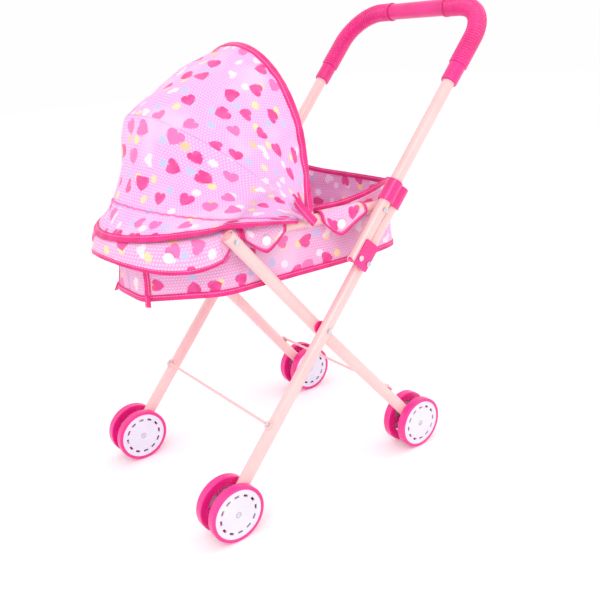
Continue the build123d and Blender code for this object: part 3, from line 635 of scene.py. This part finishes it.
def make_hood():
    """The hood's two cloths, the upper one first."""
    upper = hood_wrinkles(upper_grid(HOOD_COLUMNS, UPPER_ROWS), np.linspace(0, 1, UPPER_ROWS), 3.0)
    down = np.linspace(0, 1, LOWER_ROWS)
    lower = hood_wrinkles(lower_grid(HOOD_COLUMNS, LOWER_ROWS), down, 8.0)
    normal = grid_normals(lower)
    seam = np.exp(-((down - SEAM_SHARE) / 0.012) ** 2)[:, None]
    pucker = 1 + 0.5 * np.sin(np.linspace(0, 400, HOOD_COLUMNS))[None, :]
    lower = lower + normal * (seam * pucker * 0.9 * MM)[..., None]
    cloths = (("hood_upper", upper, "hood_upper_cloth", (0, 0.20), ["hood_front_bow", "hood_mid_bow"]),
              ("hood_lower", lower, "hood_lower_cloth", (0, 0.03), ["hood_mid_bow", "rail_tube"]))
    pieces = []
    for name, points, node, offset, held_by in cloths:
        piece = grid(name, points, cloth_uv(points, offset))
        thicken(piece, cloth * 0.6, -1.0)
        dress(piece, PRINT, replaced=[node])
        pieces.append(piece)
    blend_cloth(pieces[0])
    blend_cloth(pieces[1])
    return upper, lower


def make_hood_seam(lower):
    """The sewn line across the lower cloth, a little uneven, proud of its outer face."""
    count = 260
    line = resample(lower[SEAM_ROW], count)
    across = unit(resample(lower[SEAM_ROW + 1], count) - resample(lower[SEAM_ROW - 1], count))
    normal = unit(np.cross(np.gradient(line, axis=0), across))
    outward = np.sign((normal * (line - hood_pivot)).sum(axis=1))[:, None]
    pucker = 0.4 * MM * np.sin(np.linspace(0, 300, count))[:, None]
    centre = line + normal * outward * 0.5 * MM + across * pucker
    seam = tape("hood_seam", centre, across, normal, 2.0 * MM, 1.2 * MM)
    dress(seam, SEAM)
    blend_cloth(seam)


def edge_tape(name, edge, inner, width, overhang, body, node):
    """Tape along a cloth's edge, lying inward from it but for a small overhang."""
    edge = resample(edge, len(width))
    across = unit(resample(inner, len(width)) - edge)
    normal = unit(np.cross(np.gradient(edge, axis=0), across))
    centre = edge + across * (width / 2 - overhang)[:, None]
    piece = tape(name, centre, across, normal, width, 2.6 * MM)
    dress(piece, TAPE, body, [node])


def make_hood_bindings(upper, lower):
    """Tapes on the hood's opening, wider toward the pivots, and on its hem, narrower toward them."""
    share = np.abs(np.linspace(1, -1, 260))
    width = 8.5 * MM + 3.0 * MM * np.clip((share - 0.80) / 0.2, 0, 1)
    edge_tape("hood_opening_tape", upper[0], upper[3], width, 2.0 * MM, "hood_front", "hood_opening_binding")
    width = 8.5 * MM - 3.5 * MM * np.clip((share - 0.72) / 0.2, 0, 1)
    edge_tape("hood_hem_tape", lower[-1], lower[-6], width, 1.2 * MM, "carrycot", "hood_hem_binding")


def make_ribbons():
    """A flat ribbon each side, outside the cloth, down to the pivot's rivet."""
    lean, count = math.radians(51), 40
    out = np.array([math.cos(lean), 0, math.sin(lean)])
    for side, name in ((1, "left"), (-1, "right")):
        outward = np.array([0, side * (hood_half + 3.6 * MM), 0])
        line = hood_pivot + outward + np.linspace(38 * MM, 1 * MM, count)[:, None] * out
        sag = np.sin(np.linspace(0, math.pi, count))[:, None]
        line = line + sag * np.array([0.8 * MM, side * 0.5 * MM, 0])
        along = unit(np.gradient(line, axis=0))
        normal = np.broadcast_to([0, side, 0.0], line.shape)
        piece = tape("hood_ribbon_" + name, line, np.cross(along, normal), normal,
                     np.linspace(9 * MM, 10 * MM, count), 1.0 * MM)
        replaced = ["hood_ribbons"] if side == 1 else ()
        dress(piece, TAPE, "hood_mid", replaced)


# ------------------------ carrycot basket
FAR = 10                             # metres, added to rule out points on the wrong side


def rail_half(x):
    return rail_half_front + (rail_front_x - x) * flare


def closed_outline(half, count):
    """An even closed line from one side's corners, with mirrored corners on the other."""
    corners = [(x, y, 0) for x, y in half] + [(x, -y, 0) for x, y in reversed(half)]
    return smooth_line(corners, count + 1, closed=True)[:-1]


def floor_outline(count):
    x = front_wall_x
    back = tail_x
    half = [
        (x, 9 * MM), (x - 0.4 * MM, 22 * MM), (x - 2 * MM, 29 * MM), (x - 8 * MM, 35 * MM),
        (x - 36 * MM, 56 * MM), (x - 72 * MM, 79 * MM), (x - 120 * MM, 82 * MM), (x - 170 * MM, 84 * MM),
        (x - 225 * MM, 87 * MM), (x - 270 * MM, 86 * MM), (back + 13 * MM, 78 * MM),
        (back + 4 * MM, 60 * MM), (back, 30 * MM),
    ]
    return closed_outline(half, count)


def rim_outline(count, inset):
    radius = nose_radius - inset
    half = [(nose_centre + radius * math.cos(a), radius * math.sin(a))
            for a in np.radians((9, 27, 45, 63, 82))]
    for x in (rail_front_x - 30 * MM, hood_pivot[0] + 20 * MM, hood_pivot[0] - 40 * MM, rail_rear[0]):
        half.append((x, rail_half(x) - inset))
    half += [(tail_x + 24 * MM, 93 * MM - inset), (tail_x + 11 * MM, 84 * MM - inset),
             (tail_x + 3 * MM, 62 * MM - inset * 0.5), (tail_x + 1 * MM, 30 * MM)]
    return closed_outline(half, count)


def align(line):
    """Start a closed line at the nose."""
    behind = line[:, 0] < nose_centre
    start = int(np.argmin(np.abs(line[:, 1]) + behind * FAR))
    return np.roll(line, -start, axis=0)


def rim_height(x):
    """Top of the rim: level under the hood, up to the corners by the handle, lower behind them."""
    start = hood_pivot[0] - 50 * MM
    corner = tail_x + 22 * MM
    t = np.clip((start - x) / (start - corner), 0, 1)
    past = np.clip((corner - x) / (20 * MM), 0, 1)
    return rail_z + 12 * MM + 13.5 * MM * t ** 1.15 - 8 * MM * past


def join_ends(rows):
    """Repeat the first column after the last, so that the grid closes."""
    return np.concatenate([rows, rows[:, :1]], axis=1)


def basket_rows(count):
    """Rows of the wall: up from the floor to below the rail, then up and inward to the rim."""
    floor = align(floor_outline(count))
    under = align(rim_outline(count, 3 * MM))
    inside = align(rim_outline(count, rail_radius + 2.6 * MM))
    rows = []
    seam_z = rail_z - rail_radius - 1.2 * MM
    centre = np.array([nose_centre - 90 * MM, 0, 0])
    hollow = 3.2 * MM
    for t in np.linspace(0, 1, 22):
        row = floor + (under - floor) * t ** 0.9
        row[:, 2] = floor_z + (seam_z - floor_z) * t
        outward = row - centre
        outward[:, 2] = 0
        row = row - unit(outward) * (math.sin(math.pi * t) * hollow)
        rows.append(row)
    for t in np.linspace(0, 1, 12)[1:]:
        bend = math.sin(min(t * 1.8, 1) * math.pi / 2)
        row = under + (inside - under) * bend
        row[:, 2] = seam_z + (rim_height(inside[:, 0]) - seam_z) * t
        rows.append(row)
    return np.array(rows)


def make_basket():
    rows = basket_rows(240)
    wave = crumple(rows, 38 * MM, 4.0) * 1.6 * MM + crumple(rows, 15 * MM, 6.0) * 0.6 * MM
    free = np.sin(np.linspace(0, math.pi, len(rows)))[:, None] ** 0.6
    closed = join_ends(rows)
    outward = grid_normals(closed)[:, :-1]
    rows = rows + outward * (wave * free)[..., None]
    closed = join_ends(rows)
    uvs = cloth_uv(closed, (0.31, 0.60))
    piece = grid("basket_wall", closed, uvs)
    thicken(piece, cloth * 0.7, 0.0)
    dress(piece, BASKET, "carrycot", ["basket_shell"])
    make_floor(rows[0])
    make_basket_bindings(rows)


def make_floor(outline):
    """The basket's floor cloth, a little slack under the board."""
    rings, sag = [], 1.0 * MM
    centre = outline.mean(axis=0)
    for t in np.linspace(0, 1, 16):
        ring = outline + (centre - outline) * t * 0.999
        ring[:, 2] = outline[:, 2] - sag * math.sin(math.pi * min(1, t * 1.2) / 2)
        rings.append(ring)
    rings = np.array(rings)
    closed = join_ends(rings)
    uvs = np.stack([closed[..., 0] + 0.9, closed[..., 1] + 0.4], axis=-1)
    piece = grid("basket_floor", closed, uvs)
    thicken(piece, cloth * 0.7, 0.0)
    dress(piece, BASKET, "carrycot")


def make_board():
    """A thin quilted board: crowned, with three sewn channels across it."""
    outline = align(floor_outline(200))
    centre = outline.mean(axis=0)
    low, high = board_low.z, board_high.z
    rings, heights = [], []
    shares = [0.0, 0.01, 0.03, 0.06, 0.1] + list(np.linspace(0.14, 0.999, 26))
    inset, crown, channel_depth, channel_width = 0.955, 1.2 * MM, 1.3 * MM, 2.2 * MM
    for t in shares:
        rings.append(centre + (outline - centre) * inset * (1 - t))
        edge = (high - low) * (0.35 + 0.65 * min(1, (t / 0.06)) ** 0.5)
        heights.append(low + edge + crown * min(1, t * 4))
    top = np.array(rings)
    top[..., 2] = np.array(heights)[:, None]
    for channel in (-0.03, 0.05, 0.13):
        top[..., 2] -= channel_depth * np.exp(-((top[..., 0] - channel) / channel_width) ** 2)
    bottom = top[::-1].copy()
    bottom[..., 2] = low + 0.1 * MM
    rows = np.concatenate([bottom, top])
    closed = join_ends(rows)
    uvs = np.stack([closed[..., 0] + 0.2, closed[..., 1] + 1.2], axis=-1)
    piece = grid("board_pad", closed, uvs)
    dress(piece, LINING, "carrycot", ["base_board"])


def make_basket_bindings(rows):
    outward = rows[0] - rows[0].mean(axis=0)
    outward[:, 2] = 0
    down = np.broadcast_to([0, 0, 1.0], rows[0].shape)
    centre = rows[0] + unit(outward) * 0.6 * MM - np.array([0, 0, 2.6 * MM])
    piece = tape("basket_bottom_tape", centre, down, unit(outward), 7.0 * MM, 2.4 * MM, closed=True)
    dress(piece, TAPE, "carrycot", ["basket_bottom_binding"])
    rim = rows[-1]
    outward = rim - rim.mean(axis=0)
    outward[:, 2] = 0
    piece = tape("basket_rim_tape", rim - np.array([0, 0, 2.2 * MM]), down, unit(outward), 6.5 * MM, 2.8 * MM,
                 closed=True)
    dress(piece, TAPE, "carrycot")
    for side, name in ((1, "left"), (-1, "right")):
        make_corner_tape(rows, side, name)


def make_corner_tape(rows, side, name):
    """A tape down the basket's front corner, and its loose end below."""
    wrong_side = rows[0][:, 1] * side < 0
    place = int(np.argmin(np.abs(rows[0][:, 0] - front_wall_x + 5 * MM) + wrong_side * FAR))
    wall = rows[:21]
    line = smooth_line(wall[:, place], 60)
    tangent = unit(np.roll(wall, -1, axis=1)[:, place] - np.roll(wall, 1, axis=1)[:, place])
    tangent = smooth_line(tangent, 60)
    normal = unit(np.cross(np.gradient(line, axis=0), tangent))
    facing = np.sign((normal * (line - rows[0].mean(axis=0))).sum(axis=1))
    normal = normal * facing[:, None]
    line = line + normal * 1.2 * MM
    piece = tape("basket_corner_tape_" + name, line, tangent, normal, 6.5 * MM, 2.2 * MM)
    dress(piece, TAPE, "carrycot")
    tip = rows[0][place]
    ends = np.linspace(tip + np.array([1.5 * MM, side * 1.5 * MM, 1 * MM]),
                       tip + np.array([4.5 * MM, side * 6.5 * MM, -9.5 * MM]), 24)
    across = np.broadcast_to([1.0, -side * 0.7, 0.2], ends.shape)
    normal = np.broadcast_to([0.6, side * 0.8, 0.0], ends.shape)
    piece = tape("basket_corner_end_" + name, ends, across, normal, 6.0 * MM, 2.2 * MM)
    dress(piece, TAPE, "carrycot")


# ------------------------ flaps over the rail
FLAP_REACH = rail_radius + 1.9 * MM  # from the rail's axis to the cloth over it


def over_rail(outward, drop, wrap):
    """Section of a flap: from inside the rail, over its top, and down outside. wrap runs 0 to 1."""
    inner, turn = 4 * MM, math.pi * FLAP_REACH / 2
    total = inner + 2 * turn + drop
    at = wrap * total
    if at < inner:
        return -FLAP_REACH, -(inner - at)
    if at < inner + 2 * turn:
        angle = math.pi - (at - inner) / FLAP_REACH
        return FLAP_REACH * math.cos(angle), FLAP_REACH * math.sin(angle)
    hang = at - inner - 2 * turn
    return FLAP_REACH + hang * 0.10 * outward, -hang


def flap_grid(stations, outs, drops, rows, flare_out, bulge):
    """A flap from stations along the rail, each with its outward direction and how far it hangs."""
    points = np.zeros((rows, len(stations), 3))
    for j, (place, out, drop) in enumerate(zip(stations, outs, drops)):
        for i, wrap in enumerate(np.linspace(0, 1, rows)):
            side, height = over_rail(flare_out, drop, wrap)
            slack = bulge[j] * min(max((side + FLAP_REACH) / (2 * FLAP_REACH), 0), 1)
            points[i, j] = place + out * (side + slack) + np.array([0, 0, height])
    return points


def side_line(x_from, x_to, side, count):
    xs = np.linspace(x_from, x_to, count)
    places = np.array([[x, side * rail_half(x), rail_z] for x in xs])
    out = unit(np.array([[flare, side * 1.0, 0]] * count))
    return places, out


def nose_line(count, reach_back):
    """Stations from the left side, round the nose, to the right side."""
    join = math.pi / 2 - math.atan(flare)
    places, outs = [], []
    straight = max(6, count // 6)
    x_join = nose_centre + nose_radius * math.cos(join)
    left, left_out = side_line(x_join - reach_back, x_join, 1, straight)
    right, right_out = side_line(x_join, x_join - reach_back, -1, straight)
    for angle in np.linspace(join, -join, count - 2 * straight):
        out = np.array([math.cos(angle), math.sin(angle), 0])
        places.append(np.array([nose_centre, 0, rail_z]) + out * nose_radius)
        outs.append(out)
    return np.concatenate([left, places, right]), np.concatenate([left_out, outs, right_out])


def flap_piece(name, stations, outs, drops, node, seed, flare_out=1.0, bulge=None):
    """A flap and the tape round its free edge, which starts a few rows down."""
    rows, tape_from = 30, 6
    bulge = np.zeros(len(stations)) if bulge is None else bulge
    points = flap_grid(stations, outs, drops, rows, flare_out, bulge)
    normal = grid_normals(points)
    free = np.clip((np.linspace(0, 1, rows) - 0.45) / 0.3, 0, 1)[:, None]
    points = points + normal * ((crumple(points, 24 * MM, seed) * 1.1 * MM) * free)[..., None]
    piece = grid(name, points, cloth_uv(points, (0.1 * seed, 0.37 * seed)))
    thicken(piece, cloth * 0.7, 0.0)
    dress(piece, BASKET, None, [node] if node else ())
    edge = np.concatenate([points[tape_from:, 0], points[-1, 1:-1], points[tape_from:, -1][::-1]])
    inner = np.concatenate([points[tape_from:, 2], points[-4, 1:-1], points[tape_from:, -3][::-1]])
    line = resample(edge, 200)
    across_dir = unit(resample(inner, 200) - line)
    normal = unit(np.cross(unit(np.gradient(line, axis=0)), across_dir))
    trim = tape(name + "_tape", line + across_dir * 1.6 * MM, across_dir, normal, 5.0 * MM, 2.2 * MM)
    dress(trim, TAPE)
    return piece, trim, points


def snap_at(name, place, out, body):
    profile = [(0.6 * MM, -1.0 * MM), (5.3 * MM, -1.0 * MM), (5.5 * MM, -0.4 * MM), (5.4 * MM, 0.3 * MM),
               (4.9 * MM, 0.9 * MM), (4.0 * MM, 1.15 * MM), (3.2 * MM, 1.1 * MM), (2.7 * MM, 0.8 * MM),
               (1.6 * MM, 0.75 * MM), (0.3 * MM, 0.8 * MM)]
    piece = lathe(name, place, out, profile)
    dress(piece, SNAP, body)
    return piece


def front_drop(share):
    """How far the front flap hangs: hardly at all at its ends by the rear legs, most beside the nose."""
    ends = math.sin(min(1, (1 - share) / 0.50) * math.pi / 2) ** 1.7
    return (1 + 23 * ends - 12 * math.cos(min(1, share / 0.5) * math.pi / 2) ** 2) * MM


def make_front_flap():
    places, outs = nose_line(150, 26 * MM)
    shares = np.abs(np.linspace(1, -1, len(places)))
    bulge = 9.0 * MM * np.clip((0.85 - shares) / 0.35, 0, 1)
    drops = [front_drop(share) for share in shares]
    piece, trim, points = flap_piece("flap_nose", places, outs, drops, "flap_front", seed=2.0, bulge=bulge)
    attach(piece, "carrycot")
    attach(trim, "carrycot")
    for side, column in ((1, 44), (-1, len(places) - 45)):
        out = outs[column]
        spot = points[-10, column] + out * 1.2 * MM
        piece = snap_at("snap_front_" + ("left" if side == 1 else "right"), spot, out, "carrycot")
        if side == 1:
            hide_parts("snap_buttons")


def pointed(share):
    """A flap that hangs to a rounded point."""
    return 1 - abs(2 * share - 1) ** 1.4


def make_side_flaps():
    """Two pointed flaps each side, a little crumpled where they hang free."""
    count = 60
    middle_from, middle_to = hood_pivot[0] + 30 * MM, rail_front_x - 16 * MM
    rear_from, rear_to = rail_rear[0] + 13 * MM, hood_pivot[0] - 16 * MM
    for side, label in ((1, "left"), (-1, "right")):
        for name, x_from, x_to, node, lean in (
                ("flap_middle", middle_from, middle_to, "flaps_middle", 0.0),
                ("flap_rear", rear_from, rear_to, "flaps_rear", 0.12)):
            places, outs = side_line(x_from, x_to, side, count)
            shifted = np.linspace(0, 1, count) - lean * np.sin(np.linspace(0, math.pi, count))
            shares = np.clip(shifted, 0, 1)
            drops = [2 * MM + 19 * MM * pointed(share) for share in shares]
            whole = f"{name}_{label}"
            replaced = node if side == 1 else None
            seed = 3.0 + side + len(name)
            piece, trim, points = flap_piece(whole, places, outs, drops, replaced, seed=seed, flare_out=0.7)
            column = int(np.argmax(drops))
            out = outs[column]
            snap = snap_at(f"snap_{whole}", points[-8, column] + out * 1.1 * MM, out, None)
            for part in (piece, trim, snap):
                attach(part, "carrycot")
                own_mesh(part)


# ------------------------ grip
def handle_line(start, finish_y, side, count):
    """Centre line of one side of the handle, from a distance up it to a distance off the middle."""
    radius = handle_bend
    foot = fold_pivot + np.array([0, side * handle_y, 0])
    top = foot + up_handle * handle_run
    bend_from = top - up_handle * radius
    centre = bend_from - np.array([0, side * radius, 0])
    points = list(np.linspace(foot + up_handle * start, bend_from, 30, endpoint=False))
    for angle in np.linspace(0, math.pi / 2, 60):
        sideways = np.array([0, side * radius, 0]) * math.cos(angle)
        points.append(centre + sideways + up_handle * radius * math.sin(angle))
    across = top.copy()
    across[1] = side * finish_y
    points += list(np.linspace(points[-1], across, 14)[1:])
    return resample(np.array(points), count)


def make_grips():
    cuff, rib_pitch, gap = 23 * MM, 3.2 * MM, 0.3 * MM
    sleeve_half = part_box("grip_centre_sleeve")[1].y
    for side, label in ((1, "left"), (-1, "right")):
        path = handle_line(231 * MM, sleeve_half + gap, side, 900)
        run = lengths(path)
        radii = np.zeros(len(path))
        for i, at in enumerate(run):
            if at < cuff:
                edge = min(at, cuff - at) / (1.2 * MM)
                radii[i] = (9.2 + 0.6 * min(1, edge)) * MM
            else:
                phase = ((at - cuff) / rib_pitch) % 1
                radii[i] = (10.05 + 1.15 * abs(math.sin(math.pi * phase)) ** 0.7) * MM
        piece = tube_along("grip_" + label, path, radii, sides=40)
        dress(piece, HOSE, "handle", ["grip_hose_" + label])


# ------------------------ stage, lights, camera
def make_stage():
    size, below = 6.0, -0.2 * MM
    points = [(-size, -size, below), (size, -size, below), (size, size, below), (-size, size, below)]
    floor = finish_mesh("floor", points, [(0, 1, 2, 3)], smooth=False)
    s = Shader("floor_paper", Roughness=0.9)
    s.colour(s.mix(s.noise(3.0), (0.93, 0.93, 0.935), (0.90, 0.90, 0.905)))
    s.surface.inputs["Specular IOR Level"].default_value = 0.1
    s.surface.inputs["Emission Color"].default_value = (1.0, 1.0, 1.0, 1.0)
    s.surface.inputs["Emission Strength"].default_value = 0.10
    floor.data.materials.append(s.material)
    world = bpy.data.worlds.new("studio")
    world.use_nodes = True
    world.node_tree.nodes["Background"].inputs[0].default_value = (1.0, 0.99, 0.99, 1)
    world.node_tree.nodes["Background"].inputs[1].default_value = 1.0
    bpy.context.scene.world = world
    bpy.context.scene.view_settings.view_transform = "Standard"


def area_light(name, place, target, size, power):
    lamp = bpy.data.lights.new(name, "AREA")
    lamp.shape = "RECTANGLE"
    lamp.size = size
    lamp.size_y = size * 0.8
    lamp.energy = power
    holder = bpy.data.objects.new(name, lamp)
    holder.location = place
    direction = Vector(target) - Vector(place)
    holder.rotation_euler = direction.to_track_quat("-Z", "Y").to_euler()
    bpy.context.scene.collection.objects.link(holder)


def make_lights():
    middle = (0, 0, 0.28)
    area_light("key", (0.9, 1.1, 1.5), middle, 1.2, 9)
    area_light("fill", (1.4, -0.7, 0.9), middle, 1.4, 1.5)
    area_light("rim", (-1.2, 0.5, 1.3), middle, 1.0, 4)


def make_camera():
    azimuth, elevation, roll = (math.radians(a) for a in (143.484, 20.149, -3.844))
    back = Vector((math.sin(azimuth) * math.cos(elevation), -math.cos(azimuth) * math.cos(elevation),
                   math.sin(elevation)))
    right = Vector((0, 0, 1)).cross(back).normalized()
    up = back.cross(right)
    level_right = right * math.cos(roll) + up * math.sin(roll)
    level_up = up * math.cos(roll) - right * math.sin(roll)
    camera = bpy.data.objects.new("camera", bpy.data.cameras.new("camera"))
    camera.data.lens = 43.712
    camera.data.sensor_width = 36.0
    turn = camera.matrix_world.to_3x3()
    for i in range(3):
        turn[i] = (level_right[i], level_up[i], back[i])
    camera.matrix_world = turn.to_4x4()
    camera.location = (0.51290, 0.70179, 0.51116)
    bpy.context.scene.collection.objects.link(camera)
    bpy.context.scene.camera = camera


make_stage()
make_lights()
make_camera()
upper_cloth, lower_cloth = make_hood()
make_hood_seam(lower_cloth)
make_hood_bindings(upper_cloth, lower_cloth)
make_ribbons()
make_basket()
make_board()
make_front_flap()
make_side_flaps()
make_grips()
